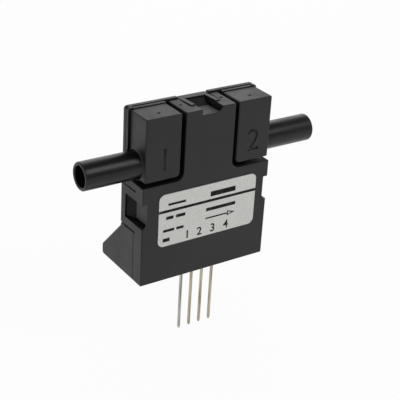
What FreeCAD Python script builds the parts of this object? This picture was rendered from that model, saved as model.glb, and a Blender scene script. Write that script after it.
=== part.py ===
"""Thermal mass flow sensor with two hose tubes, a snap-together housing and a row of pins.

Millimetres. +X runs along the gas flow, +Y from the front face to the back, +Z up.
The origin is the centre of the pin row on the seating plane, which is the underside of the housing.
Depths are counted from the front face, rises and drops from the level that their name gives.
"""
import math
import os

import FreeCAD
import Part

Vector = FreeCAD.Vector

# Housing
housing_width = 30.1
housing_height = 36.0
housing_depth = 8.3
tower_rise = 14.2
tower_width = 11.5
front_wall = 0.97
side_wall = 1.2
floor_wall = 1.2
back_wall = 1.3
back_rise = 0.3
back_corner = 0.7
rim_groove_width = 0.15
rim_groove_sink = 0.25
seam_gap = 0.15
edge_round = 0.2
back_round = 0.4
shoulder_round = 1.8

# Wedge foot of the rear cover
foot_depth = 15.85
heel_height = 2.3
slope_drop = 0.6
flank_seam_depth = 3.1
slope_round = 1.0
heel_round = 0.6
foot_rib_place = 7.0
foot_rib_wall = 1.0
foot_rib_depth = 9.0

# Snap latches: a loop of two arms and a bar on the front cover, a wedge catch on the rear cover
latch_slit = 0.3
latch_root_depth = 2.75
latch_bar = 1.6
channel_depth = 1.1
channel_round = 1.0
window_depth = 4.0
slot_depth = 0.3
slot_width = 0.8
catch_gap = 0.25
catch_tab = 1.3
catch_lead = 0.3
catch_sink = 0.3
side_latch_drop = 6.2
side_channel = 5.3
side_arm = 1.7
top_channel = 4.8
top_arm = 1.0
top_latch_offset = 0.25

# Flow body: end blocks, bridge and tubes
block_inset = 0.45
block_gap = 0.9
block_setback = 0.1
block_depth = 6.0
block_lift = 0.95
block_round = 0.3
block_corner = 1.0
tube_outer = 5.7
tube_wall = 0.7
tube_length = 12.25
tube_lift = 0.05
tube_depth = 3.6
root_round = 0.4
boss_length = 5.0
boss_gap = 0.25
tip_chamfer = 0.2
mouth_chamfer = 0.2
settling_length = 5.0
nozzle_length = 3.2
channel_bore = 1.4
bridge_height = 5.2
sensing_window = 3.0

# Moulding dimples on the top faces
dimple_radius = 0.35
dimple_sink = 0.15
dimple_depth_block = 2.4
dimple_depth_tower = 4.0

# Circuit board and its seat in the front cover
board_thickness = 0.8
board_stand_off = 0.2
board_side_gap = 0.8
board_top_gap = 0.5
board_neck_gap = 0.25
board_neck_rise = 0.4
peg_radius = 0.75
peg_gap = 0.1
peg_proud = 0.3
peg_inset = 2.0
peg_rise = 2.5
rib_width = 1.0
rib_place = 7.0

# Sensing chip, its bead and the gasket round it
gasket_thickness = 0.6
gasket_width = 5.2
gasket_opening = 3.6
die_side = 1.8
die_thickness = 0.45
bead_width = 2.4
bead_height = 0.8
bead_thickness = 0.5

# Leaded packages: size is (width, depth, height), leads are counted above and below the body
lead_width = 0.3
lead_thickness = 0.15
lead_reach = 0.6
package_lift = 0.1
package_chamfer = 0.1
fine_pitch = 0.65
coarse_pitch = 1.9
processor_size = (6.5, 4.4, 0.95)
processor_leads = (10, 10)
processor_place = -6.6
processor_drop = 3.2
amplifier_size = (3.0, 2.2, 0.85)
amplifier_leads = (4, 4)
amplifier_drop = 1.9
regulator_size = (2.9, 1.4, 1.0)
regulator_leads = (1, 2)
regulator_place = 5.0
regulator_drop = 5.6

# Chip parts: size is (length, width, height), places are (x, drop below the board's shoulder)
capacitor_size = (1.6, 0.8, 0.8)
capacitor_places = ((3.6, 3.6), (6.0, 3.6), (8.4, 3.6), (8.4, 5.6))
resistor_size = (1.6, 0.8, 0.45)
resistor_places = ((3.6, 1.9), (6.0, 1.9), (8.4, 1.9), (0.0, 4.6))
chip_cap = 0.35
chip_proud = 0.03

# Pin row
pin_count = 4
pin_pitch = 2.54
pin_side = 0.46
pin_reach = 14.65
pin_lap = 3.0
pin_taper = 0.5
pin_tip_side = 0.26
pin_slot_gap = 0.2
header_height = 2.3
header_gap = 0.1

# Label on the front face
label_width = 23.3
label_height = 11.6
label_drop = 2.2
label_offset = 0.35
label_corner = 1.3
label_thickness = 0.15

# Length of cuts that run out of the part, and overlap of a feature with the wall it grows from
reach = 80.0
bite = 0.3

# Places and sizes that follow from the dimensions above
half_width = housing_width / 2
shoulder_height = housing_height - tower_rise
pin_depth = front_wall + board_stand_off + board_thickness + pin_side / 2
front_y = -pin_depth
back_y = front_y + housing_depth
back_inner_y = back_y - back_wall
rim_y = back_inner_y - seam_gap
heel_y = front_y + foot_depth
flank_seam_y = front_y + flank_seam_depth
wall_inner_x = half_width - side_wall
tower_half = tower_width / 2
tower_inner_x = tower_half - side_wall
side_latch_height = shoulder_height - side_latch_drop
arm_low = side_latch_height - side_channel / 2 - side_arm
flank_top = arm_low - latch_slit
slope_height = flank_top - slope_drop
block_inner_x = tower_half + block_gap
block_outer_x = half_width - block_inset
block_front_y = front_y + block_setback
block_back_y = block_front_y + block_depth
block_base = shoulder_height + block_lift
back_top = housing_height + back_rise
tube_y = front_y + tube_depth
tube_height = block_base + tube_lift + tube_outer / 2
tube_tip_x = block_outer_x + tube_length
tube_boss = tube_outer / 2 + root_round
bridge_base = tube_height - bridge_height / 2
bridge_top = bridge_base + bridge_height
board_back_y = -pin_side / 2
board_front_y = board_back_y - board_thickness
board_half = wall_inner_x - channel_depth - board_side_gap
board_base = floor_wall + header_height
board_shoulder = shoulder_height - side_wall - board_top_gap
bridge_front_y = board_back_y + gasket_thickness
die_base = tube_height - (die_side - bead_height) / 2


def box(x, y, z):
    """Block between pairs of limits along X, Y and Z."""
    size = (x[1] - x[0], y[1] - y[0], z[1] - z[0])
    return Part.makeBox(*size, Vector(x[0], y[0], z[0]))


def rounded_face(corners):
    """Flat face through (point, radius) corners, each radius above zero drawn as a tangent arc."""
    trimmed = []
    for index, (point, radius) in enumerate(corners):
        before = (corners[index - 1][0] - point).normalize()
        after = (corners[(index + 1) % len(corners)][0] - point).normalize()
        half = before.getAngle(after) / 2
        run = radius / math.tan(half)
        middle = point + (before + after).normalize() * (radius / math.sin(half) - radius)
        trimmed.append((point + before * run, middle, point + after * run, radius))
    edges = []
    for index, (start, middle, end, radius) in enumerate(trimmed):
        if radius:
            edges.append(Part.Arc(start, middle, end).toShape())
        following = trimmed[(index + 1) % len(trimmed)][0]
        edges.append(Part.LineSegment(end, following).toShape())
    return Part.Face(Part.Wire(edges))


def upright_plate(corners, y):
    """Plate from an outline of (x, z, radius) corners, extruded from y[0] to y[1]."""
    outline = [(Vector(cx, y[0], cz), radius) for cx, cz, radius in corners]
    return rounded_face(outline).extrude(Vector(0, y[1] - y[0], 0))


def long_bar(corners, x):
    """Bar from an outline of (y, z, radius) corners, extruded from x[0] to x[1]."""
    outline = [(Vector(x[0], cy, cz), radius) for cy, cz, radius in corners]
    return rounded_face(outline).extrude(Vector(x[1] - x[0], 0, 0))


def rectangle(x, z, radii):
    """Corners for upright_plate, with radii from the low corner round through +X."""
    places = [(x[0], z[0]), (x[1], z[0]), (x[1], z[1]), (x[0], z[1])]
    return [(px, pz, radius) for (px, pz), radius in zip(places, radii)]


def edges_at(solid, axis, value):
    """Edges of a solid that lie wholly in the plane where the axis (0, 1 or 2) has that value."""
    return [edge for edge in solid.Edges
            if all(abs(vertex.Point[axis] - value) < 1e-6 for vertex in edge.Vertexes)]


def mirrored(solid):
    """The same solid on the other side of the plane X = 0."""
    return solid.mirror(Vector(0, 0, 0), Vector(1, 0, 0))


def both_sides(solid):
    """The solid and its mirror image."""
    return [solid, mirrored(solid)]


def on_top(solid):
    """Move a latch solid, drawn with its outer surface at Z = 0, to the top of the tower."""
    return solid.translated(Vector(top_latch_offset, 0, housing_height))


def on_right(solid):
    """Turn and move a latch solid, drawn with its outer surface at Z = 0, to the right flank."""
    turned = solid.copy()
    turned.rotate(Vector(0, 0, 0), Vector(0, 1, 0), 90)
    return turned.translated(Vector(half_width, 0, side_latch_height))


def on_three_sides(draw):
    """One latch solid for each flank and one for the top, from draw(channel, arm)."""
    return both_sides(on_right(draw(side_channel, side_arm))) + [on_top(draw(top_channel, top_arm))]


def loop_bar(channel, arm):
    """Ends of the two arms and the bar that joins them behind the rim of the front cover."""
    half = channel / 2 + arm
    return box((-half, half), (rim_y - latch_bar, back_y), (-side_wall, 0))


def loop_backing(channel, arm):
    """Thicker wall behind the floor of the channel that leads in from the front face."""
    half = channel / 2 + arm
    depth = (front_y + front_wall / 2, front_y + window_depth)
    return box((-half, half), depth, (-channel_depth - side_wall, -side_wall / 2))


def loop_cut(channel, arm):
    """Channel from the front face to the bar, window through the wall, deep slot and two slits."""
    half = channel / 2
    bar_y = back_y - latch_bar
    through = (-channel_depth - side_wall - bite, reach)
    profile = rectangle((-half, half), (-channel_depth, reach), (0, channel_round, 0, 0))
    lead_in = upright_plate(profile, (front_y - reach, bar_y))
    window = box((-half, half), (front_y + window_depth, bar_y), through)
    slot = box((half - slot_width, half), (front_y + slot_depth, bar_y), through)
    slit = box((half + arm, half + arm + latch_slit), (front_y + latch_root_depth, reach), through)
    return lead_in.fuse([window, slot] + both_sides(slit))


def catch_wedge(channel, arm):
    """Tab of the rear cover with the wedge that the bar of the loop snaps behind."""
    width = (catch_gap - channel / 2, channel / 2 - catch_gap)
    seat = -side_wall - seam_gap
    start = front_y + window_depth + catch_lead
    stop = back_y - latch_bar - seam_gap
    tab = box(width, (start, back_inner_y + bite), (seat - catch_tab, seat))
    ramp = [(start, seat - catch_tab / 2, 0), (stop, seat - catch_tab / 2, 0),
            (stop, -catch_sink, 0), (start, seat, 0)]
    return tab.fuse(long_bar(ramp, width))


def bar_relief(channel, arm):
    """Room in the edge of the back wall for the bar of the loop and its slits."""
    half = channel / 2 + arm + latch_slit
    return box((-half, half), (-reach, reach), (-side_wall - seam_gap, reach))


def top_dimples(place, depth):
    """Two shallow round moulding marks on the top faces, at X = -place and X = place."""
    centre = Vector(place, front_y + depth, housing_height - dimple_sink)
    return both_sides(Part.makeCylinder(dimple_radius, reach, centre))


def pin_places():
    """X of each pin."""
    return [(index - (pin_count - 1) / 2) * pin_pitch for index in range(pin_count)]


def make_front_cover():
    """Shell with the tower, the three latch loops, the seat of the board and the slots for the pins."""
    outline = [(-half_width, 0, edge_round), (half_width, 0, edge_round),
               (half_width, shoulder_height, edge_round), (tower_half, shoulder_height, shoulder_round),
               (tower_half, housing_height, edge_round), (-tower_half, housing_height, edge_round),
               (-tower_half, shoulder_height, shoulder_round), (-half_width, shoulder_height, edge_round)]
    cover = upright_plate(outline, (front_y, rim_y))
    cover = cover.makeFillet(edge_round, edges_at(cover, 1, front_y))
    hollow_y = (front_y + front_wall, reach)
    body_hollow = box((-wall_inner_x, wall_inner_x), hollow_y, (floor_wall, shoulder_height - side_wall))
    tower_hollow = box((-tower_inner_x, tower_inner_x), hollow_y, (floor_wall, housing_height - side_wall))
    foot_room = box((-reach, reach), (flank_seam_y, reach), (-reach, arm_low))
    cover = cover.cut([body_hollow, tower_hollow, foot_room])
    cover = cover.fuse(on_three_sides(loop_bar) + on_three_sides(loop_backing))
    bridge_room = box((-block_inner_x, block_inner_x), (bridge_front_y - seam_gap, reach),
                      (bridge_base, bridge_top + seam_gap))
    dimple_place = (tower_half + top_channel / 2 + top_arm + latch_slit) / 2
    cover = cover.cut(on_three_sides(loop_cut) + [bridge_room] + top_dimples(dimple_place, dimple_depth_tower))
    slot_half = pin_side / 2 + pin_slot_gap
    for place in pin_places():
        slot = box((place - slot_half, place + slot_half), (-slot_half, reach), (-reach, floor_wall))
        cover = cover.cut(slot)
    seat_y = front_y + front_wall
    rib = box((rib_place, rib_place + rib_width), (seat_y - bite, board_front_y), (board_base, board_shoulder))
    peg = Part.makeCylinder(peg_radius, board_back_y + peg_proud - seat_y + bite,
                            Vector(board_half - peg_inset, seat_y - bite, board_base + peg_rise), Vector(0, 1, 0))
    return cover.fuse(both_sides(rib) + both_sides(peg))


def make_rim_groove():
    """Groove round the rim of the back wall, above the shoulders, between its two layers."""
    groove_y = (back_inner_y, back_inner_y + rim_groove_width)
    inner_x = half_width - rim_groove_sink
    corners = (0, 0, back_corner, back_corner)
    core = rectangle((-inner_x, inner_x), (shoulder_height, back_top - rim_groove_sink), corners)
    around = box((-reach, reach), groove_y, (shoulder_height, reach))
    return around.cut(upright_plate(core, groove_y))


def make_rear_cover():
    """Back wall with the hollow wedge foot, three catches and a pad that holds the bridge in its slot."""
    foot_y = flank_seam_y + seam_gap
    foot = long_bar([(foot_y, 0, 0), (heel_y, 0, heel_round), (heel_y, heel_height, heel_round),
                     (back_y, slope_height, slope_round), (back_y, flank_top, 0), (foot_y, flank_top, 0)],
                    (-half_width, half_width))
    flank_edges = edges_at(foot, 0, half_width) + edges_at(foot, 0, -half_width)
    foot = foot.makeFillet(edge_round, [edge for edge in flank_edges if edge.CenterOfMass.z > heel_height])
    corners = (0, 0, back_corner, back_corner)
    outline = rectangle((-half_width, half_width), (slope_height, back_top), corners)
    wall = upright_plate(outline, (back_inner_y, back_y))
    low_edges = [edge.hashCode() for edge in edges_at(wall, 2, slope_height)]
    wall = wall.makeFillet(back_round, [edge for edge in edges_at(wall, 1, back_y)
                                        if edge.hashCode() not in low_edges])
    outline = rectangle((block_inner_x, half_width), (block_base, back_top), (0, 0, back_corner, 0))
    layer = upright_plate(outline, (block_back_y + seam_gap, back_inner_y + bite))
    wall = wall.fuse(both_sides(layer)).cut(make_rim_groove())
    slope = Vector(0, back_y - heel_y, slope_height - heel_height).normalize()
    inner = Vector(0, heel_y - back_wall * slope.z, heel_height + back_wall * slope.y)
    inner_heel_y = inner.y + slope.y * (floor_wall - inner.z) / slope.z
    inner_top = inner.z + slope.z * (back_inner_y - inner.y) / slope.y
    hollow = long_bar([(foot_y - seam_gap, floor_wall, 0), (inner_heel_y, floor_wall, 0),
                       (back_inner_y, inner_top, 0), (back_inner_y, reach, 0), (foot_y - seam_gap, reach, 0)],
                      (-wall_inner_x, wall_inner_x))
    rib = box((foot_rib_place, foot_rib_place + foot_rib_wall), (front_y + foot_rib_depth, heel_y),
              (0, slope_height)).common(foot)
    cover = foot.fuse(wall).cut(hollow).fuse(both_sides(rib))
    cover = cover.cut(on_three_sides(bar_relief)).fuse(on_three_sides(catch_wedge))
    boss_start = Vector(block_outer_x - boss_length - boss_gap, tube_y, tube_height)
    boss_room = Part.makeCylinder(tube_boss + boss_gap, reach, boss_start, Vector(1, 0, 0))
    pad = box((seam_gap - tower_inner_x, tower_inner_x - seam_gap), (block_back_y, back_inner_y + bite),
              (bridge_base + seam_gap, bridge_top - seam_gap))
    return cover.cut(both_sides(boss_room)).fuse(pad)


def axis_point(x, radius):
    """Point beside the tube axis, in the upright plane through it."""
    return Vector(x, tube_y, tube_height + radius)


def revolved(wire):
    """Body of revolution about the tube axis."""
    return Part.Face(wire).revolve(Vector(0, tube_y, tube_height), Vector(1, 0, 0), 360)


def make_tube():
    """Right-hand tube with its round boss, concave root and chamfered tip, not yet bored."""
    outer = tube_outer / 2
    root_end = block_outer_x + root_round
    bend = root_round * (1 - math.sqrt(0.5))
    root = Part.Arc(axis_point(block_outer_x, tube_boss), axis_point(block_outer_x + bend, outer + bend),
                    axis_point(root_end, outer))
    boss_x = block_outer_x - boss_length
    straight = [axis_point(root_end, outer), axis_point(tube_tip_x - tip_chamfer, outer),
                axis_point(tube_tip_x, outer - tip_chamfer), axis_point(tube_tip_x, 0),
                axis_point(boss_x, 0), axis_point(boss_x, tube_boss), axis_point(block_outer_x, tube_boss)]
    return revolved(Part.Wire([root.toShape()] + Part.makePolygon(straight).Edges))


def make_flow_path():
    """Space that the gas runs through: two tube bores, two nozzles and the measuring channel."""
    bore = tube_outer / 2 - tube_wall
    nozzle_x = block_outer_x - settling_length
    half = [(tube_tip_x + mouth_chamfer, bore + 2 * mouth_chamfer), (tube_tip_x - mouth_chamfer, bore),
            (nozzle_x, bore), (nozzle_x - nozzle_length, channel_bore / 2)]
    points = [axis_point(x, radius) for x, radius in half]
    points += [axis_point(-x, radius) for x, radius in reversed(half)]
    points += [axis_point(-half[0][0], 0), axis_point(half[0][0], 0), points[0]]
    return revolved(Part.makePolygon(points))


def make_flow_body():
    """Two end blocks with their tubes, joined by the bridge that holds the measuring channel."""
    radii = (block_corner, block_round, block_round, block_round)
    outline = rectangle((block_inner_x, block_outer_x), (block_base, housing_height), radii)
    block = upright_plate(outline, (block_front_y, block_back_y))
    block = block.makeFillet(block_round, edges_at(block, 1, block_front_y))
    bridge_half = block_inner_x + block_corner
    bridge = box((-bridge_half, bridge_half), (bridge_front_y, block_back_y), (bridge_base, bridge_top))
    body = bridge.fuse(both_sides(block) + both_sides(make_tube()))
    half = sensing_window / 2
    window = box((-half, half), (-reach, tube_y), (tube_height - half, tube_height + half))
    dimple_place = (block_inner_x + block_outer_x) / 2
    return body.cut([make_flow_path(), window] + top_dimples(dimple_place, dimple_depth_block))


def square_wire(place, side, z):
    """Square outline round a pin's axis at one height."""
    half = side / 2
    corners = [Vector(place + dx * half, dy * half, z) for dx, dy in ((-1, -1), (1, -1), (1, 1), (-1, 1))]
    return Part.makePolygon(corners + corners[:1])


def make_pin(place):
    """Square post that laps the back of the board at its top and tapers at its tip."""
    half = pin_side / 2
    taper_z = pin_taper - pin_reach
    shank = box((place - half, place + half), (-half, half), (taper_z, board_base + pin_lap))
    tip = Part.makeLoft([square_wire(place, pin_tip_side, -pin_reach), square_wire(place, pin_side, taper_z)], True)
    return shank.fuse(tip)


def make_pin_header():
    """Strip on the floor of the housing that spaces the pins and carries the board's lower edge."""
    half_length = pin_count * pin_pitch / 2
    half_depth = pin_depth - front_wall - header_gap
    strip = box((-half_length, half_length), (-half_depth, half_depth), (floor_wall, board_base))
    post = pin_side / 2
    return strip.cut([box((place - post, place + post), (-post, post), (0, reach)) for place in pin_places()])


def make_circuit_board():
    """Board with a neck up into the tower and two holes for the pegs."""
    neck = tower_inner_x - board_neck_gap
    neck_top = bridge_top + board_neck_rise
    corners = [(-board_half, board_base), (board_half, board_base), (board_half, board_shoulder),
               (neck, board_shoulder), (neck, neck_top), (-neck, neck_top), (-neck, board_shoulder),
               (-board_half, board_shoulder)]
    board = upright_plate([(x, z, 0) for x, z in corners], (board_front_y, board_back_y))
    hole = Part.makeCylinder(peg_radius + peg_gap, reach,
                             Vector(board_half - peg_inset, front_y, board_base + peg_rise), Vector(0, 1, 0))
    return board.cut(both_sides(hole))


def make_channel_gasket():
    """Square ring between the board and the bridge, round the sensing window."""
    plates = []
    for width in (gasket_width, gasket_opening):
        half = width / 2
        outline = rectangle((-half, half), (tube_height - half, tube_height + half), [0] * 4)
        plates.append(upright_plate(outline, (board_back_y, bridge_front_y)))
    return plates[0].cut(plates[1])


def make_sensor_die():
    """Chip that looks into the measuring channel through the sensing window."""
    half = die_side / 2
    return box((-half, half), (board_back_y, board_back_y + die_thickness), (die_base, die_base + die_side))


def make_die_encapsulant():
    """Bead along the chip's lower edge, over its bond wires."""
    half = bead_width / 2
    top_y = board_back_y + bead_thickness
    bead = box((-half, half), (board_back_y, top_y), (die_base - bead_height, die_base))
    low_edge = [edge for edge in edges_at(bead, 1, top_y) if edge.CenterOfMass.z < die_base - bead_height / 2]
    return bead.makeFillet(bead_thickness / 2, low_edge)


def leaded_package(place, drop, size, leads, pitch):
    """Moulded package on the back of the board with a row of bent leads above it and one below."""
    width, depth, height = size
    body_top = package_lift + height
    body = box((-width / 2, width / 2), (package_lift, body_top), (-depth / 2, depth / 2))
    body = body.makeChamfer(package_chamfer, edges_at(body, 1, body_top))
    legs = []
    for side, count in zip((1, -1), leads):
        edge_z = side * depth / 2
        sole = sorted((edge_z, edge_z + side * lead_reach))
        knee = sorted((edge_z - side * lead_thickness, edge_z + side * lead_thickness))
        for index in range(count):
            middle = (index - (count - 1) / 2) * pitch
            across = (middle - lead_width / 2, middle + lead_width / 2)
            legs.append(box(across, (0, lead_thickness), sole))
            legs.append(box(across, (0, package_lift + height / 2), knee))
    return body.fuse(legs).translated(Vector(place, board_back_y, board_shoulder - drop))


def chip_part(place, drop, size):
    """Two-ended chip part on the back of the board, with end caps a little proud of its body."""
    length, width, height = size
    body = box((chip_cap - length / 2, length / 2 - chip_cap), (chip_proud, height - chip_proud),
               (chip_proud - width / 2, width / 2 - chip_proud))
    end = box((length / 2 - chip_cap, length / 2), (0, height), (-width / 2, width / 2))
    return body.fuse(both_sides(end)).translated(Vector(place, board_back_y, board_shoulder - drop))


def make_board_parts():
    """Packages and chip parts on the back of the board, by name."""
    parts = {
        "signal_processor": leaded_package(processor_place, processor_drop, processor_size, processor_leads,
                                           fine_pitch),
        "bridge_amplifier": leaded_package(0, amplifier_drop, amplifier_size, amplifier_leads, fine_pitch),
        "voltage_regulator": leaded_package(regulator_place, regulator_drop, regulator_size, regulator_leads,
                                            coarse_pitch),
    }
    for index, (place, drop) in enumerate(capacitor_places):
        parts[f"capacitor_{index + 1}"] = chip_part(place, drop, capacitor_size)
    for index, (place, drop) in enumerate(resistor_places):
        parts[f"resistor_{index + 1}"] = chip_part(place, drop, resistor_size)
    return parts


def make_label_plate():
    """Thin label with rounded corners on the front face."""
    half = label_width / 2
    top = shoulder_height - label_drop
    outline = rectangle((label_offset - half, label_offset + half), (top - label_height, top), [label_corner] * 4)
    return upright_plate(outline, (front_y - label_thickness, front_y))


def make_pieces():
    """Every piece of the sensor by name."""
    pieces = {
        "front_cover": make_front_cover(),
        "rear_cover": make_rear_cover(),
        "flow_body": make_flow_body(),
        "label_plate": make_label_plate(),
        "circuit_board": make_circuit_board(),
        "channel_gasket": make_channel_gasket(),
        "sensor_die": make_sensor_die(),
        "die_encapsulant": make_die_encapsulant(),
        "pin_header": make_pin_header(),
    }
    pieces.update(make_board_parts())
    for index, place in enumerate(pin_places()):
        pieces[f"contact_pin_{index + 1}"] = make_pin(place)
    return pieces


os.makedirs("parts", exist_ok=True)
for name, shape in make_pieces().items():
    shape = shape.removeSplitter()
    print(f"{name}: {len(shape.Solids)} solid, valid {shape.isValid()}, {shape.Volume:.2f} mm3")
    shape.exportStep(os.path.join("parts", name + ".step"))
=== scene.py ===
# %% [markdown]
# A thermal mass flow sensor: a small black instrument that measures how much gas runs through it.
# Two straight tubes take a hose each, the housing snaps together, and four pins carry the signal.
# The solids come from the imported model, in metres. Blender keeps their sizes and places and adds
# finishes, soft edges and print, so everything below stays in the model's own frame.

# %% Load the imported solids
import math

import bmesh
import bpy
from mathutils import Matrix, Vector


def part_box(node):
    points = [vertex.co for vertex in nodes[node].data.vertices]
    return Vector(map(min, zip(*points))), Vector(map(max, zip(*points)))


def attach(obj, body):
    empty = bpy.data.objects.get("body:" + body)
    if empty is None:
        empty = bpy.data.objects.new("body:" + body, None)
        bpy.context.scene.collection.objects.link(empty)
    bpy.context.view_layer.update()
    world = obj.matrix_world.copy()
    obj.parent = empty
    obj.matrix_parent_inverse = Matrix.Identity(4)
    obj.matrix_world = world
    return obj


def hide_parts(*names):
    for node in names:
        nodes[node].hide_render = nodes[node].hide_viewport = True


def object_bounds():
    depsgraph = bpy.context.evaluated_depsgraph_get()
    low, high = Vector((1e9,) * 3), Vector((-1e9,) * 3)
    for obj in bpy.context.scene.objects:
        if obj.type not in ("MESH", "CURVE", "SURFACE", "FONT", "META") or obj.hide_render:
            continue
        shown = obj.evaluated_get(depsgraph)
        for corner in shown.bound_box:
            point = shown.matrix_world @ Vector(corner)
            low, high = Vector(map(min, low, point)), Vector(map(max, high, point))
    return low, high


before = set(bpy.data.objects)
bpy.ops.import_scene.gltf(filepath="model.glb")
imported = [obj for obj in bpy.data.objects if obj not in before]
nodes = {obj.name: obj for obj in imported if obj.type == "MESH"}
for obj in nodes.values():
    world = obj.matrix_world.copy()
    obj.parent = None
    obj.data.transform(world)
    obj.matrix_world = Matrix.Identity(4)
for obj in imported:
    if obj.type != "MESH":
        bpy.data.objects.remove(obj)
cad_low, cad_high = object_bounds()
MM = 0.001
print("nodes", len(nodes), "box in mm", [round(x / MM, 1) for x in cad_high - cad_low])

# %% [markdown]
# The camera stands in front, to the left and above, and leans a little. A Track To constraint could
# aim it, but the lean would be lost. So its three axes are worked out from three angles and written
# straight into the camera's matrix. The lens is known in pixels of a 400 pixel picture, and is turned
# into millimetres on Blender's 36 mm sensor.

# %% Camera
CAMERA_AZIMUTH = math.radians(34.868)
CAMERA_ELEVATION = math.radians(26.927)
CAMERA_LEAN = math.radians(3.33)
CAMERA_DISTANCE = 212.441 * MM
CAMERA_AIM = Vector((0, 2.8, 20)) * MM
# How far the aim lies from the middle of the picture, to the right and upwards.
CAMERA_SLIDE = (-1.19 * MM, 5.5 * MM)
LENS_PIXELS = 1046
IMAGE_PIXELS = 400
SENSOR_WIDTH = 36
NEAREST_SEEN = 10 * MM

sight = Vector((math.sin(CAMERA_AZIMUTH) * math.cos(CAMERA_ELEVATION),
                math.cos(CAMERA_AZIMUTH) * math.cos(CAMERA_ELEVATION), -math.sin(CAMERA_ELEVATION)))
level_right = Vector((math.cos(CAMERA_AZIMUTH), -math.sin(CAMERA_AZIMUTH), 0))
level_up = level_right.cross(sight)
right = level_right * math.cos(CAMERA_LEAN) + level_up * math.sin(CAMERA_LEAN)
up = level_up * math.cos(CAMERA_LEAN) - level_right * math.sin(CAMERA_LEAN)
camera_place = CAMERA_AIM - sight * CAMERA_DISTANCE - right * CAMERA_SLIDE[0] - up * CAMERA_SLIDE[1]

camera_data = bpy.data.cameras.new("studio_camera")
camera_data.sensor_width = SENSOR_WIDTH
camera_data.lens = LENS_PIXELS / IMAGE_PIXELS * SENSOR_WIDTH
camera_data.clip_start = NEAREST_SEEN
camera = bpy.data.objects.new("studio_camera", camera_data)
bpy.context.scene.collection.objects.link(camera)
camera.matrix_world = Matrix((right, up, -sight)).transposed().to_4x4()
camera.matrix_world.translation = camera_place
bpy.context.scene.camera = camera
bpy.context.scene.view_settings.view_transform = "Standard"
print("camera", [round(x / MM) for x in camera_place], "lens", round(camera_data.lens, 1))

# %% [markdown]
# Colours are picked on screen as sRGB hex values, while the shader works with linear light, so one
# function turns the one into the other. Nodes could be put together by hand in the editor, but
# written down they can be read and repeated. A second function adds a node with its settings and
# links, and a third one starts a material, so each finish below reads as a short list of nodes.

# %% Colour and node helpers
# The Mix node keeps its colour sockets behind those for numbers and vectors, so they go by number.
MIX_FACTOR = 0
MIX_FIRST = 6
MIX_SECOND = 7
MIX_COLOUR = 2


def linear(hex_code):
    """Linear RGBA of an sRGB hex value such as '#1d1d1e'."""
    screen = [int(hex_code[i:i + 2], 16) / 255 for i in (1, 3, 5)]
    return [c / 12.92 if c <= 0.04045 else ((c + 0.055) / 1.055) ** 2.4 for c in screen] + [1.0]


def add_node(tree, kind, inputs=(), **settings):
    """Add a node; inputs pairs a socket name or number with a value or with another node's output."""
    node = tree.nodes.new(kind)
    for name, value in settings.items():
        setattr(node, name, value)
    for socket, value in dict(inputs).items():
        if isinstance(value, bpy.types.NodeSocket):
            tree.links.new(value, node.inputs[socket])
        else:
            node.inputs[socket].default_value = value
    return node


def new_finish(name, **sockets):
    """A material with one Principled shader; sockets are set by their names, _ standing for a space."""
    finish = bpy.data.materials.new(name)
    finish.use_nodes = True
    shader = finish.node_tree.nodes["Principled BSDF"]
    for socket, value in sockets.items():
        shader.inputs[socket.replace("_", " ")].default_value = value
    return finish, finish.node_tree, shader


print("half way on the screen is", round(linear("#808080")[0], 3), "of the light")

# %% [markdown]
# Moulded ABS, black, from a spark-eroded tool: the tool's tiny craters print a fine grain on the
# plastic, which scatters the light and turns deep black into a soft dark grey. The grain is about
# 0.1 mm on the real part. It is drawn at 0.22 mm here, because a finer one would vanish between the
# pixels of the render. Slow clouds of gloss are where the part was handled.
# The tubes are smooth, so the same plastic gets almost no grain there and a clear gloss. On the top
# catch this darker polished copy is painted shade. The third copy, a little darker than the grained
# one and almost without sheen, is painted shade on the side catches, which lie deep in their loops.
# One function with other values makes all three, because they are one material.

# %% Black ABS, grained and polished, with painted shade for the catches
ABS_IOR = 1.53
GRAIN = 0.22 * MM
CLOUD = 5 * MM
# Levels of the cloud noise between which the gloss changes.
CLOUD_SPREAD = (0.3, 0.7)


def black_abs(name, dark, pale, gloss, grain_height, specular):
    """Black plastic whose tint and roughness drift between two values, with a fine grain."""
    finish, tree, shader = new_finish(name, IOR=ABS_IOR, Specular_IOR_Level=specular)
    spot = add_node(tree, "ShaderNodeTexCoord").outputs["Object"]
    grain = add_node(tree, "ShaderNodeTexNoise", {"Vector": spot, "Scale": 1 / GRAIN, "Detail": 2.0})
    cloud = add_node(tree, "ShaderNodeTexNoise", {"Vector": spot, "Scale": 1 / CLOUD, "Detail": 3.0})
    drift = cloud.outputs["Fac"]
    tones = {MIX_FACTOR: drift, MIX_FIRST: linear(dark), MIX_SECOND: linear(pale)}
    tint = add_node(tree, "ShaderNodeMix", tones, data_type="RGBA")
    gloss_range = {"Value": drift, "From Min": CLOUD_SPREAD[0], "From Max": CLOUD_SPREAD[1],
                   "To Min": gloss[0], "To Max": gloss[1]}
    sheen = add_node(tree, "ShaderNodeMapRange", gloss_range)
    bump = add_node(tree, "ShaderNodeBump", {"Height": grain.outputs["Fac"], "Distance": grain_height})
    tree.links.new(tint.outputs[MIX_COLOUR], shader.inputs["Base Color"])
    tree.links.new(sheen.outputs[0], shader.inputs["Roughness"])
    tree.links.new(bump.outputs[0], shader.inputs["Normal"])
    return finish


grained_black = black_abs("black_abs_spark_eroded", "#111112", "#171718", gloss=(0.42, 0.52),
                          grain_height=0.008 * MM, specular=0.35)
# The tubes are really polished; on the top catch this darker copy is painted shade.
polished_and_shade_black = black_abs("black_abs_polished_and_painted_shade", "#08080a", "#0d0d0e", gloss=(0.27, 0.37),
                           grain_height=0.002 * MM, specular=0.3)
# A darker copy with almost no sheen, painted shade for the side catches.
catch_shade_black = black_abs("black_abs_painted_catch_shade", "#0f0f10", "#141415", gloss=(0.6, 0.7),
                         grain_height=0.012 * MM, specular=0.12)
print("finishes", grained_black.name, polished_and_shade_black.name, catch_shade_black.name)

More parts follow.
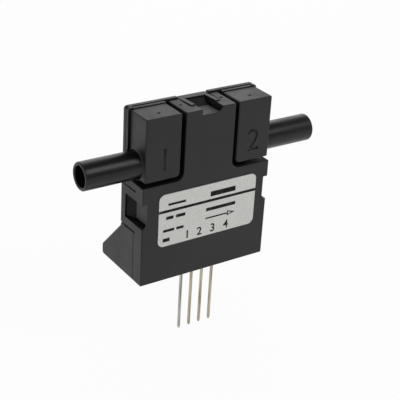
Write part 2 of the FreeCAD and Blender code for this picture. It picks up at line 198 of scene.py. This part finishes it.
# %% [markdown]
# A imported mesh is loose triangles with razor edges. On a copy of it the corners are merged and the
# flat faces joined again. Then the sharp edges are rounded by a few hundredths of a millimetre, as on
# a moulded part, so that they catch the light. A Bevel modifier could do that, but the very short
# edges would spoil or shrink its rounds. With bmesh the edges that end at one are left out first.

# %% Merging and rounding
MERGE_DISTANCE = 0.0001 * MM
FLAT = math.radians(0.5)
SHARP = math.radians(32)
EDGE_BREAK = 0.05 * MM
SHORTEST_EDGE = 5 * EDGE_BREAK
ROUND_STEPS = 3


def merged_copy(node_name):
    """The node's mesh with its triangles merged and its flat faces joined, as a bmesh."""
    shape = bmesh.new()
    shape.from_mesh(nodes[node_name].data)
    bmesh.ops.remove_doubles(shape, verts=shape.verts, dist=MERGE_DISTANCE)
    bmesh.ops.dissolve_limit(shape, angle_limit=FLAT, verts=shape.verts, edges=shape.edges)
    return shape


def break_edges(shape):
    """Round the sharp edges, apart from those that end at an edge too short to take a round."""
    short = [edge for edge in shape.edges if edge.calc_length() < SHORTEST_EDGE]
    crowded = {vert for edge in short for vert in edge.verts}
    sharp = [edge for edge in shape.edges if len(edge.link_faces) == 2 and edge.calc_face_angle() > SHARP
             and not crowded.intersection(edge.verts)]
    bmesh.ops.bevel(shape, geom=sharp, offset=EDGE_BREAK, affect="EDGES", segments=ROUND_STEPS,
                    profile=0.5, material=-1)
    return len(sharp)


print("edges are rounded by", EDGE_BREAK / MM, "mm")

# %% [markdown]
# Every new piece becomes an object in the same way. Smooth shading lets the narrow rounds look round,
# but alone it would also bend the light across the large faces. So edges that turn far are kept
# sharp, and weighted normals hold the large faces flat. Last, the piece gets its materials and is
# told which body it rides on.

# %% From a bmesh to a piece
FLAT_FACE_WEIGHT = 90


def place_piece(name, shape, finishes, smooth=True):
    """Turn a bmesh into a piece that rides on the root body."""
    for face in shape.faces:
        face.smooth = smooth
    mesh = bpy.data.meshes.new(name)
    shape.to_mesh(mesh)
    shape.free()
    for finish in finishes:
        mesh.materials.append(finish)
    piece = bpy.data.objects.new(name, mesh)
    bpy.context.scene.collection.objects.link(piece)
    if smooth:
        mesh.set_sharp_from_angle(angle=SHARP)
        weighted = piece.modifiers.new("flat_faces", "WEIGHTED_NORMAL")
        weighted.keep_sharp = True
        weighted.weight = FLAT_FACE_WEIGHT
    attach(piece, "root")
    return piece


print("large faces weigh", FLAT_FACE_WEIGHT, "of 100 in the shading")

# %% [markdown]
# The covers are two moulded shells that snap together: loops on the front one pass over wedge catches
# on the rear one. The solids have the right shape, so each cover is a rounded copy. The catches could
# be pieces of their own, but on the real part they are one moulding with the cover. So each face of
# the rear cover gets its material by its place, with painted shade on the catches, which lie in the
# shade of their loops: the darker polished black near the middle of the top catch, the darker copy
# without sheen near the middle of a side catch, and the grained black elsewhere.

# %% Front and rear cover
TOP_CATCH = Vector((0.25, 3.2, 35)) * MM
SIDE_CATCH = Vector((14, 3.2, 15.6)) * MM
CATCH_REACH = Vector((2.4, 1.3, 2.5)) * MM
COVER_MATERIALS_AND_SHADES = [grained_black, polished_and_shade_black, catch_shade_black]


def near_catch(point, catch):
    """True where the point lies within reach of the middle of a catch."""
    return all(abs(gap) < reach for gap, reach in zip(point - catch, CATCH_REACH))


def cover_finish(face):
    """Material of a face of the rear cover, painted shade on the catches; both side catches are tested on
    the right-hand one.
    """
    middle = face.calc_center_median()
    # Painted shade: the top catch takes the darker polished black, a side catch the darker copy without
    # sheen.
    if near_catch(middle, TOP_CATCH):
        return polished_and_shade_black
    on_right = Vector((abs(middle.x), middle.y, middle.z))
    return catch_shade_black if near_catch(on_right, SIDE_CATCH) else grained_black


for node_name, piece_name in (("front_cover", "front_shell"), ("rear_cover", "rear_shell")):
    cover_shape = merged_copy(node_name)
    rounded = break_edges(cover_shape)
    for face in cover_shape.faces:
        finish = cover_finish(face) if node_name == "rear_cover" else grained_black
        face.material_index = COVER_MATERIALS_AND_SHADES.index(finish)
    cover = place_piece(piece_name, cover_shape, COVER_MATERIALS_AND_SHADES)
    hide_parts(node_name)
    print(piece_name, rounded, "edges rounded", len(cover.data.polygons), "faces")

# %% [markdown]
# Behind each block the back wall has a second layer, which comes up almost to the same rim. It fills
# the space between the block and the wall, so that only a thin line shows there from above. The layer
# is a plain bar, so it starts as a cube between two opposite corners. A Mirror modifier could make
# its twin on the other side, but a second bar is easier to follow.

# %% Rim layers
RIM_LAYER_LOW = Vector((6.65, 3.98, 30)) * MM
RIM_LAYER_HIGH = Vector((13.86, 4.8, 36.18)) * MM


def add_bar(shape, low, high):
    """Add a block between two opposite corners to a bmesh."""
    bmesh.ops.create_cube(shape, size=1, matrix=Matrix.LocRotScale((low + high) / 2, None, high - low))


def add_bar_pair(shape, low, high):
    """Add a block on the right and its twin on the left."""
    add_bar(shape, low, high)
    add_bar(shape, Vector((-high.x, low.y, low.z)), Vector((-low.x, high.y, high.z)))


rim_shape = bmesh.new()
add_bar_pair(rim_shape, RIM_LAYER_LOW, RIM_LAYER_HIGH)
rounded = break_edges(rim_shape)
rim_layers = place_piece("rim_layers", rim_shape, [grained_black])
print("rim layers", rounded, "edges rounded", len(rim_layers.data.polygons), "faces")

# %% [markdown]
# Inside the shells, a bar like a rib behind each side latch and one like a tongue along the bottom seam
# block the view straight through both latches or along the seam. They are dark stand-ins for shade:
# from outside they only show as darkness behind an opening, so plain bars without rounds are enough.

# %% Ribs and tongue, dark stand-ins for shade
RIB_LOW = Vector((12.3, 1.1, 2)) * MM
RIB_HIGH = Vector((12.9, 4.8, 13.8)) * MM
TONGUE_LOW = Vector((-13.8, 0.91, 0.05)) * MM
TONGUE_HIGH = Vector((13.8, 1.04, 1.19)) * MM

blocker_shape = bmesh.new()
add_bar_pair(blocker_shape, RIB_LOW, RIB_HIGH)
add_bar(blocker_shape, TONGUE_LOW, TONGUE_HIGH)
# The bars stand in for the shade behind the latches and the seam.
shade_blockers = place_piece("shade_blockers", blocker_shape, [grained_black])
print("ribs and tongue", len(shade_blockers.data.polygons), "faces")

# %% [markdown]
# The arms of the top loop stand a little proud and spring up towards the front, so each carries a thin
# sloping land. A land could be turned as a whole, but then its foot would leave the arm. So it starts
# as a level bar, and only its upper front edge is lifted.

# %% Latch lands
LAND_LOW = Vector((2.42, 0.5, 35.9)) * MM
LAND_HIGH = Vector((3.28, 4.4, 36.03)) * MM
LAND_LIFT = 0.16 * MM
TOP_LATCH_X = 0.25 * MM

land_shape = bmesh.new()
add_bar_pair(land_shape, LAND_LOW, LAND_HIGH)
land_middle = (LAND_LOW + LAND_HIGH) / 2
front_edge = [vert for vert in land_shape.verts if vert.co.y < land_middle.y and vert.co.z > land_middle.z]
bmesh.ops.translate(land_shape, verts=front_edge, vec=(0, 0, LAND_LIFT))
bmesh.ops.translate(land_shape, verts=land_shape.verts, vec=(TOP_LATCH_X, 0, 0))
rounded = break_edges(land_shape)
latch_lands = place_piece("latch_lands", land_shape, [grained_black])
print("latch lands", rounded, "edges rounded", len(latch_lands.data.polygons), "faces")

# %% [markdown]
# Numerals could be drawn stroke by stroke, but a font curve has them ready, and Blender turns it into
# a mesh. The curve's offset thins or fattens the strokes, and extrude gives them depth. The same
# helper serves the cut numerals on the blocks and the printed ones on the label.

# %% Upright numerals
# Height of a numeral as a share of the font's size.
CAP_HEIGHT = 0.7
CURVE_STEPS = 4


def upright_numeral(text, height, foot, depth, weight):
    """Solid numeral that stands upright with the middle of its foot at a point, facing the front."""
    curve = bpy.data.curves.new("numeral", "FONT")
    curve.body = text
    curve.align_x = "CENTER"
    curve.size = height / CAP_HEIGHT
    curve.offset = weight
    curve.extrude = depth
    curve.resolution_u = CURVE_STEPS
    writing = bpy.data.objects.new("numeral", curve)
    bpy.context.scene.collection.objects.link(writing)
    graph = bpy.context.evaluated_depsgraph_get()
    mesh = bpy.data.meshes.new_from_object(writing.evaluated_get(graph))
    bpy.data.objects.remove(writing)
    mesh.transform(Matrix.Translation(foot) @ Matrix.Rotation(math.pi / 2, 4, "X"))
    solid = bmesh.new()
    solid.from_mesh(mesh)
    # The offset can leave tiny loops at the corners, which are merged away.
    bmesh.ops.remove_doubles(solid, verts=solid.verts, dist=depth / 4)
    bmesh.ops.recalc_face_normals(solid, faces=solid.faces)
    solid.to_mesh(mesh)
    solid.free()
    return mesh


print("numerals are", CAP_HEIGHT, "of the font's size high")

# %% [markdown]
# The flow body is one moulding too. A plain numeral is sunk into each block to tell the inlet from
# the outlet. It could be painted on, but then it would not show in the shape. So the numeral becomes
# a cutter, and a Boolean takes it out of the block and leaves a crisp groove.

# %% Flow body, engraved
ENGRAVE_DEPTH = 0.2 * MM
ENGRAVE_WEIGHT = -0.06 * MM
PORT_NUMERAL_HEIGHT = 4.8 * MM
PORT_NUMERALS = {"1": (-10.3 * MM, 24.8 * MM), "2": (10.6 * MM, 24.9 * MM)}
block_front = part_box("flow_body")[0].y

blank_shape = merged_copy("flow_body")
blank_mesh = bpy.data.meshes.new("flow_blank")
blank_shape.to_mesh(blank_mesh)
blank_shape.free()
blank = bpy.data.objects.new("flow_blank", blank_mesh)
bpy.context.scene.collection.objects.link(blank)
for text, (x, z) in PORT_NUMERALS.items():
    cutter_mesh = upright_numeral(text, PORT_NUMERAL_HEIGHT, (x, block_front, z),
                                  ENGRAVE_DEPTH, ENGRAVE_WEIGHT)
    cutter = bpy.data.objects.new("numeral_cutter", cutter_mesh)
    bpy.context.scene.collection.objects.link(cutter)
    cut = blank.modifiers.new("engrave", "BOOLEAN")
    cut.object = cutter
    cut.operation = "DIFFERENCE"
    cut.solver = "EXACT"
    cut.use_self = True
    engraved = bpy.data.meshes.new_from_object(blank.evaluated_get(bpy.context.evaluated_depsgraph_get()))
    blank.modifiers.clear()
    blank.data = engraved
    bpy.data.objects.remove(cutter)
print("engraved", len(PORT_NUMERALS), "numerals", ENGRAVE_DEPTH / MM, "mm deep")

# %% [markdown]
# The engraved body is rounded as the covers are. Its tubes are one moulding with the blocks, so they
# get the polished finish by their place: every face further out along the flow than the blocks.

# %% Flow body, rounded and finished
TUBE_START = 14.62 * MM
FLOW_FINISHES = [grained_black, polished_and_shade_black]

flow_shape = bmesh.new()
flow_shape.from_mesh(blank.data)
bpy.data.objects.remove(blank)
rounded = break_edges(flow_shape)
for face in flow_shape.faces:
    finish = polished_and_shade_black if abs(face.calc_center_median().x) > TUBE_START else grained_black
    face.material_index = FLOW_FINISHES.index(finish)
flow_moulding = place_piece("flow_moulding", flow_shape, FLOW_FINISHES)
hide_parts("flow_body")
print("flow body", rounded, "edges rounded", len(flow_moulding.data.polygons), "faces")

# %% [markdown]
# The label is silvered polyester film: pale grey, a little satin, with the fine sparkle of its metal
# coat. Several finishes of this part are two tones that drift with a noise, over a slight bump, so one
# function makes them all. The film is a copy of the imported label, set back by a little more than the
# thickness of the ink, so that the print on top of it stays inside the object's own box.

# %% Label film
INK_THICKNESS = 0.012 * MM
FILM_SET_BACK = 1.2 * INK_THICKNESS
# The flakes of the metal coat are finer than a pixel, so they are drawn coarse enough to show.
SPECKLE = 0.3 * MM


def drifting_finish(name, dark, pale, patch, bump_height=0, contrast=(0, 1), detail=4.0, **sockets):
    """Finish that drifts between two tones over patches of a size; contrast is where each is reached."""
    finish, tree, shader = new_finish(name, **sockets)
    spot = add_node(tree, "ShaderNodeTexCoord").outputs["Object"]
    noise = add_node(tree, "ShaderNodeTexNoise", {"Vector": spot, "Scale": 1 / patch, "Detail": detail})
    drift = noise.outputs["Fac"]
    spread = {"Value": drift, "From Min": contrast[0], "From Max": contrast[1]}
    share = add_node(tree, "ShaderNodeMapRange", spread).outputs[0]
    tones = {MIX_FACTOR: share, MIX_FIRST: linear(dark), MIX_SECOND: linear(pale)}
    tone = add_node(tree, "ShaderNodeMix", tones, data_type="RGBA")
    tree.links.new(tone.outputs[MIX_COLOUR], shader.inputs["Base Color"])
    if bump_height:
        bump = add_node(tree, "ShaderNodeBump", {"Height": drift, "Distance": bump_height})
        tree.links.new(bump.outputs[0], shader.inputs["Normal"])
    return finish


film = drifting_finish("silvered_polyester_film", "#c2c3be", "#d4d4d1", SPECKLE, 0.003 * MM,
                       contrast=(0.3, 0.7), detail=3.0, Roughness=0.42, Metallic=0.15)
label_low, label_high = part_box("label_plate")
film_shape = merged_copy("label_plate")
film_front = [vert for vert in film_shape.verts if vert.co.y < (label_low.y + label_high.y) / 2]
bmesh.ops.translate(film_shape, verts=film_front, vec=(0, FILM_SET_BACK, 0))
label_film = place_piece("label_film", film_shape, [film])
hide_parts("label_plate")
print("label", [round(x / MM, 2) for x in label_high - label_low])

# %% [markdown]
# The print is black ink, screen-printed in one pass. It is a rule across the label, some plain bars,
# a flow arrow and the four pin numbers. An image on the film could show it, but it would be no part of
# the shape, so each mark is a thin solid on the film. The ink is uneven, so its black drifts a little
# towards grey.

# %% Ink, rule and bars
INK_PATCH = 0.9 * MM
RULE_HEIGHT = 15.86 * MM
RULE_THICKNESS = 0.6 * MM
# Each bar is its left end, its right end, its foot and its height, in millimetres.
BARS = ((0.8, 6.9, 16.75, 1.1), (-9.2, -5.1, 17.0, 0.5),
        (-9.6, -7.9, 13.95, 0.7), (-7.3, -5.1, 13.95, 0.7),
        (-10.2, -7.6, 11.2, 0.6), (-7.1, -5.4, 11.2, 0.6),
        (-10.2, -8.6, 9.0, 0.8), (-0.1, 7.1, 13.55, 0.75))
ink_front = label_low.y
ink_back = label_low.y + INK_THICKNESS

ink = drifting_finish("black_screen_ink", "#0b0b0c", "#3c3c3b", INK_PATCH, contrast=(0.5, 0.8),
                      Roughness=0.6, Specular_IOR_Level=0.15)
print_shape = bmesh.new()


def add_ink(start, end, foot, top):
    """Flat bar of ink between two ends and two heights."""
    add_bar(print_shape, Vector((start, ink_front, foot)), Vector((end, ink_back, top)))


add_ink(label_low.x, label_high.x, RULE_HEIGHT - RULE_THICKNESS / 2, RULE_HEIGHT + RULE_THICKNESS / 2)
for start, end, foot, bar_height in BARS:
    add_ink(start * MM, end * MM, foot * MM, (foot + bar_height) * MM)
print("ink", ink.name, "on a rule and", len(BARS), "bars")

# %% [markdown]
# The flow arrow is a thin shaft with an outlined head. The head could be three bars, but their ends
# would not meet neatly. So it starts as one triangle: inset makes a frame inside its edges, the
# middle is deleted, and the frame is extruded to the thickness of the ink.

# %% Flow arrow
ARROW_TAIL = -0.1 * MM
ARROW_TIP = 7.1 * MM
ARROW_HEIGHT = 11.95 * MM
ARROW_SHAFT = 0.32 * MM
ARROW_HEAD_LENGTH = 1.9 * MM
ARROW_HEAD_WIDTH = 1.15 * MM
ARROW_OUTLINE = 0.22 * MM

head_start = ARROW_TIP - ARROW_HEAD_LENGTH
add_ink(ARROW_TAIL, head_start, ARROW_HEIGHT - ARROW_SHAFT / 2, ARROW_HEIGHT + ARROW_SHAFT / 2)
head_corners = [(head_start, ARROW_HEIGHT + ARROW_HEAD_WIDTH / 2), (ARROW_TIP, ARROW_HEIGHT),
                (head_start, ARROW_HEIGHT - ARROW_HEAD_WIDTH / 2)]
head_face = print_shape.faces.new([print_shape.verts.new((x, ink_back, z)) for x, z in head_corners])
print_shape.normal_update()
head_frame = bmesh.ops.inset_region(print_shape, faces=[head_face], thickness=ARROW_OUTLINE,
                                    use_boundary=True, use_even_offset=True)["faces"]
bmesh.ops.delete(print_shape, geom=[head_face], context="FACES")
raised = bmesh.ops.extrude_face_region(print_shape, geom=head_frame)["geom"]
raised_verts = [part for part in raised if isinstance(part, bmesh.types.BMVert)]
bmesh.ops.translate(print_shape, verts=raised_verts, vec=(0, ink_front - ink_back, 0))
print("arrow head", len(head_frame), "sides")

# %% [markdown]
# The pin numbers come from the same helper as the numerals on the blocks, a little fatter so that they
# stay readable. The finished print has only flat faces, so it is shaded flat.

# %% Pin numbers and the finished print
PIN_NUMBER_HEIGHT = 1.8 * MM
PIN_NUMBER_FOOT = 8.6 * MM
PIN_NUMBER_WEIGHT = 0.04 * MM
PIN_NUMBER_PLACES = (-4.4 * MM, -1.5 * MM, 1.75 * MM, 5.0 * MM)
ink_middle = (ink_front + ink_back) / 2

for pin, x in enumerate(PIN_NUMBER_PLACES, start=1):
    number_mesh = upright_numeral(str(pin), PIN_NUMBER_HEIGHT, (x, ink_middle, PIN_NUMBER_FOOT),
                                  INK_THICKNESS / 2, PIN_NUMBER_WEIGHT)
    print_shape.from_mesh(number_mesh)
bmesh.ops.recalc_face_normals(print_shape, faces=print_shape.faces)
label_print = place_piece("label_print", print_shape, [ink], smooth=False)
print("label print", len(label_print.data.polygons), "faces")

# %% [markdown]
# The pins are drawn brass wire, plated with thin pale gold over nickel. Drawing leaves dark and bright
# lines along the wire, so the noise is stretched along Z. The first pin is drawn in a cooler grey than
# the others, so the same finish is made twice with other tones. The pins keep their imported meshes,
# since their shape is right.

# %% Gold-plated pins
# The lines are a few hundredths of a millimetre on a real pin, and wider here so that they show.
PIN_LINE = 0.2 * MM
PIN_STRETCH = 0.03
# Levels of the noise at which a line is fully dark and fully bright.
PIN_CONTRAST = (0.35, 0.65)
PIN_GLOSS = (0.18, 0.4)


def plated_pin(name, dark, pale):
    """Drawn and plated wire with lines along Z between a dark and a pale tone."""
    finish, tree, shader = new_finish(name, Metallic=1.0)
    spot = add_node(tree, "ShaderNodeTexCoord").outputs["Object"]
    stretch = (1 / PIN_LINE, 1 / PIN_LINE, PIN_STRETCH / PIN_LINE)
    drawn = add_node(tree, "ShaderNodeMapping", {"Vector": spot, "Scale": stretch}).outputs[0]
    noise = add_node(tree, "ShaderNodeTexNoise", {"Vector": drawn, "Scale": 1.0, "Detail": 2.0})
    lines = noise.outputs["Fac"]
    spread = {"Value": lines, "From Min": PIN_CONTRAST[0], "From Max": PIN_CONTRAST[1]}
    share = add_node(tree, "ShaderNodeMapRange", spread).outputs[0]
    tones = {MIX_FACTOR: share, MIX_FIRST: linear(dark), MIX_SECOND: linear(pale)}
    tone = add_node(tree, "ShaderNodeMix", tones, data_type="RGBA")
    gloss_range = {"Value": lines, "To Min": PIN_GLOSS[0], "To Max": PIN_GLOSS[1]}
    gloss = add_node(tree, "ShaderNodeMapRange", gloss_range)
    tree.links.new(tone.outputs[MIX_COLOUR], shader.inputs["Base Color"])
    tree.links.new(gloss.outputs[0], shader.inputs["Roughness"])
    return finish


def wear_finish(node_name, finish):
    """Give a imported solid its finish."""
    for material_slot in nodes[node_name].material_slots:
        material_slot.material = finish


gilt = plated_pin("gold_plated_brass", "#7b7058", "#c5bda9")
# The first pin is drawn in a cooler grey than the others.
cooler_gilt = plated_pin("gold_plated_brass_cooler_grey", "#6b675e", "#c8c7c1")
wear_finish("contact_pin_1", cooler_gilt)
for pin in (2, 3, 4):
    wear_finish(f"contact_pin_{pin}", gilt)
print("pins", gilt.name, cooler_gilt.name)

# %% [markdown]
# Inside the housing, where only an open model shows them, are the board, its seal and the chip. They
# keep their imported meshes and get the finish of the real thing. Two tones that drift with a noise are
# enough for each of them, so they share the label film's function.

# %% Board, seal and chip
BOARD_FINISHES = {
    # Solder resist on glass cloth shows a soft green with the weave's slight ripple.
    "circuit_board": drifting_finish("solder_resist_green", "#14502c", "#1c6538", 0.5 * MM, 0.004 * MM,
                                     Roughness=0.35),
    # Cast silicone is matt and even, with a trace of talc.
    "channel_gasket": drifting_finish("silicone_rubber_grey", "#6d7173", "#7d8183", 0.4 * MM, 0.006 * MM,
                                      Roughness=0.7),
    # A polished wafer is a grey mirror.
    "sensor_die": drifting_finish("polished_silicon", "#5a6069", "#686f78", 0.6 * MM,
                                  Roughness=0.12, Metallic=0.7),
    # Dispensed epoxy sets with a wet gloss.
    "die_encapsulant": drifting_finish("dispensed_epoxy_black", "#0c0c0d", "#121213", 1 * MM,
                                       Roughness=0.1),
    # Glass-filled nylon is dull, with fibres just under its skin.
    "pin_header": drifting_finish("glass_filled_nylon_black", "#161617", "#202021", 0.3 * MM, 0.004 * MM,
                                  Roughness=0.6),
}
for node_name, finish in BOARD_FINISHES.items():
    wear_finish(node_name, finish)
print("finished", ", ".join(BOARD_FINISHES))

# %% [markdown]
# The packages and chip parts are bodies with tinned metal ends. Each end could be a piece with its own
# material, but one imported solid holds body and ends. So the finish tells them apart by their place:
# what lies further from the middle than the body is bright tin. The bodies are dull black epoxy on the
# packages, brown fired ceramic on the capacitors and black glaze on the resistors.

# %% Board parts with tinned ends
LEAD = 0.62 * MM
CHIP_END = 0.36 * MM
BODY_PATCH = 0.3 * MM
TIN = "#c6c6c2"
BODY_ROUGHNESS = 0.5
TIN_ROUGHNESS = 0.3
PACKAGES = ("signal_processor", "bridge_amplifier", "voltage_regulator")
# A kind of chip part, its material and the two tones of its body.
CHIP_PARTS = (("capacitor", "fired_ceramic", "#8a6a45", "#9b7b55"),
              ("resistor", "glazed_alumina", "#17181b", "#23252a"))
CHIPS_OF_A_KIND = 4


def tinned_finish(name, node_name, axis, end_length, dark, pale):
    """Finish of a body whose two ends along an axis ("X" or "Z") are tinned, each end so long."""
    finish, tree, shader = new_finish(name)
    low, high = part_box(node_name)
    axis_index = "XYZ".index(axis)
    middle = (low[axis_index] + high[axis_index]) / 2
    body_half = (high[axis_index] - low[axis_index]) / 2 - end_length
    spot = add_node(tree, "ShaderNodeTexCoord").outputs["Object"]
    along = add_node(tree, "ShaderNodeSeparateXYZ", {0: spot}).outputs[axis]
    offset = add_node(tree, "ShaderNodeMath", {0: along, 1: middle}, operation="SUBTRACT").outputs[0]
    distance = add_node(tree, "ShaderNodeMath", {0: offset}, operation="ABSOLUTE").outputs[0]
    tin = add_node(tree, "ShaderNodeMath", {0: distance, 1: body_half}, operation="GREATER_THAN").outputs[0]
    noise = add_node(tree, "ShaderNodeTexNoise", {"Vector": spot, "Scale": 1 / BODY_PATCH, "Detail": 3.0})
    body_tones = {MIX_FACTOR: noise.outputs["Fac"], MIX_FIRST: linear(dark), MIX_SECOND: linear(pale)}
    body = add_node(tree, "ShaderNodeMix", body_tones, data_type="RGBA").outputs[MIX_COLOUR]
    tones = {MIX_FACTOR: tin, MIX_FIRST: body, MIX_SECOND: linear(TIN)}
    tone = add_node(tree, "ShaderNodeMix", tones, data_type="RGBA")
    gloss_range = {"Value": tin, "To Min": BODY_ROUGHNESS, "To Max": TIN_ROUGHNESS}
    gloss = add_node(tree, "ShaderNodeMapRange", gloss_range)
    tree.links.new(tone.outputs[MIX_COLOUR], shader.inputs["Base Color"])
    tree.links.new(tin, shader.inputs["Metallic"])
    tree.links.new(gloss.outputs[0], shader.inputs["Roughness"])
    return finish


for node_name in PACKAGES:
    finish = tinned_finish("epoxy_moulding_" + node_name, node_name, "Z", LEAD, "#151516", "#1e1e1f")
    wear_finish(node_name, finish)
for kind, material_name, dark, pale in CHIP_PARTS:
    for count in range(1, CHIPS_OF_A_KIND + 1):
        node_name = f"{kind}_{count}"
        finish = tinned_finish(f"{material_name}_{node_name}", node_name, "X", CHIP_END, dark, pale)
        wear_finish(node_name, finish)
print("finished", len(PACKAGES), "packages and", CHIPS_OF_A_KIND * len(CHIP_PARTS), "chip parts")

# %% [markdown]
# The floor is matt white card, under the tips of the pins. More lamps could make it white, but they
# would bleach the object too. So a Light Path node shows it as white to the camera and in reflections,
# while its share of real card keeps the object's shadow.

# %% White floor
FLOOR_WHITE = 0.93
FLOOR_HALF_WIDTH = 1.5
FIBRE = 2 * MM
FIBRE_HEIGHT = 0.02 * MM


def seen_directly(tree):
    """1 for rays from the camera, from reflections and through glass, and 0 for the light itself."""
    rays = add_node(tree, "ShaderNodeLightPath").outputs
    camera_or_glossy = {0: rays["Is Camera Ray"], 1: rays["Is Glossy Ray"]}
    seen = add_node(tree, "ShaderNodeMath", camera_or_glossy, operation="MAXIMUM").outputs[0]
    seen_or_through = {0: seen, 1: rays["Is Transmission Ray"]}
    return add_node(tree, "ShaderNodeMath", seen_or_through, operation="MAXIMUM").outputs[0]


# Pressed card is matt, with fibres that only show close up.
card, tree, shader = new_finish("matt_white_card", Base_Color=linear("#f7f7f7"), Roughness=0.9)
spot = add_node(tree, "ShaderNodeTexCoord").outputs["Object"]
fibres = add_node(tree, "ShaderNodeTexNoise", {"Vector": spot, "Scale": 1 / FIBRE})
bump = add_node(tree, "ShaderNodeBump", {"Height": fibres.outputs["Fac"], "Distance": FIBRE_HEIGHT})
tree.links.new(bump.outputs[0], shader.inputs["Normal"])
white = add_node(tree, "ShaderNodeEmission", {"Strength": 1.0}).outputs[0]
share = add_node(tree, "ShaderNodeMath", {0: seen_directly(tree), 1: FLOOR_WHITE}, operation="MULTIPLY")
blend = add_node(tree, "ShaderNodeMixShader", {0: share.outputs[0], 1: shader.outputs[0], 2: white})
tree.links.new(blend.outputs[0], tree.nodes["Material Output"].inputs["Surface"])

floor_shape = bmesh.new()
bmesh.ops.create_grid(floor_shape, x_segments=1, y_segments=1, size=FLOOR_HALF_WIDTH)
bmesh.ops.translate(floor_shape, verts=floor_shape.verts, vec=(0, 0, cad_low.z))
floor_mesh = bpy.data.meshes.new("studio_floor")
floor_shape.to_mesh(floor_mesh)
floor_shape.free()
floor_mesh.materials.append(card)
floor = bpy.data.objects.new("studio_floor", floor_mesh)
bpy.context.scene.collection.objects.link(floor)
print("floor at", round(cad_low.z / MM, 2), "mm")

# %% [markdown]
# The room is a light tent: white walls, a darker ceiling and a darker front side. Walls and ceiling
# could be meshes, but the world can hold them as brightness by direction, with no edges to hide. The
# ceiling gives the dark bands along the tops of the glossy tubes, and the dim front keeps the front
# faces dark. Reflections see this shaded tent, with white walls at a strength of 1, and as light it is
# a little stronger. Only the camera itself sees plain white all round.

# %% Light tent
ROOM_LIGHT = 1.3
CEILING = 0.22
# Height of a direction, as its Z, at which the ceiling begins and at which it is fully dark.
CEILING_SPAN = (0.5, 0.8)
FRONT = 0.35
# Y of a direction at which the front side is fully dim and at which it ends.
FRONT_SPAN = (-0.9, -0.4)

room = bpy.data.worlds.new("light_tent")
room.use_nodes = True
bpy.context.scene.world = room
tree = room.node_tree
way = add_node(tree, "ShaderNodeTexCoord").outputs["Generated"]
way_parts = add_node(tree, "ShaderNodeSeparateXYZ", {0: way}).outputs
ceiling_range = {"Value": way_parts["Z"], "From Min": CEILING_SPAN[0], "From Max": CEILING_SPAN[1],
                 "To Min": 1.0, "To Max": CEILING}
ceiling = add_node(tree, "ShaderNodeMapRange", ceiling_range, interpolation_type="SMOOTHSTEP")
front_range = {"Value": way_parts["Y"], "From Min": FRONT_SPAN[0], "From Max": FRONT_SPAN[1],
               "To Min": FRONT, "To Max": 1.0}
front_side = add_node(tree, "ShaderNodeMapRange", front_range, interpolation_type="SMOOTHSTEP")
shades = {0: ceiling.outputs[0], 1: front_side.outputs[0]}
tent = add_node(tree, "ShaderNodeMath", shades, operation="MULTIPLY").outputs[0]
level_range = {"Value": seen_directly(tree), "To Min": ROOM_LIGHT, "To Max": 1.0}
level = add_node(tree, "ShaderNodeMapRange", level_range).outputs[0]
lit = add_node(tree, "ShaderNodeMath", {0: tent, 1: level}, operation="MULTIPLY").outputs[0]
camera_ray = add_node(tree, "ShaderNodeLightPath").outputs["Is Camera Ray"]
strength = add_node(tree, "ShaderNodeMapRange", {"Value": camera_ray, "To Min": lit, "To Max": 1.0})
background = tree.nodes["Background"]
background.inputs["Color"].default_value = linear("#ffffff")
tree.links.new(strength.outputs[0], background.inputs["Strength"])
print("tent", room.name, "ceiling", CEILING, "front", FRONT)

# %% [markdown]
# Two soft boxes stand in the tent, one at the front right for the bright line along the tubes and one
# at the back for the sheen on the upper faces. Point lamps would give hard spots on the gloss, so both
# are square area lamps. Each is turned by to_track_quat, which points its back away from the object.

# %% Soft boxes


def soft_box(name, towards, distance, width, watts):
    """Square area lamp in the given direction from the object, facing it."""
    lamp_data = bpy.data.lights.new(name, "AREA")
    lamp_data.size = width
    lamp_data.energy = watts
    lamp = bpy.data.objects.new(name, lamp_data)
    bpy.context.scene.collection.objects.link(lamp)
    direction = Vector(towards).normalized()
    lamp.location = CAMERA_AIM + direction * distance
    lamp.rotation_euler = direction.to_track_quat("Z", "Y").to_euler()
    print(name, watts, "W at", [round(x, 2) for x in lamp.location], "m")


soft_box("front_soft_box", (0.34, -0.54, 0.67), distance=0.325, width=0.15, watts=0.22)
soft_box("back_soft_box", (0.45, 0.75, 0.5), distance=0.4, width=0.3, watts=0.2)
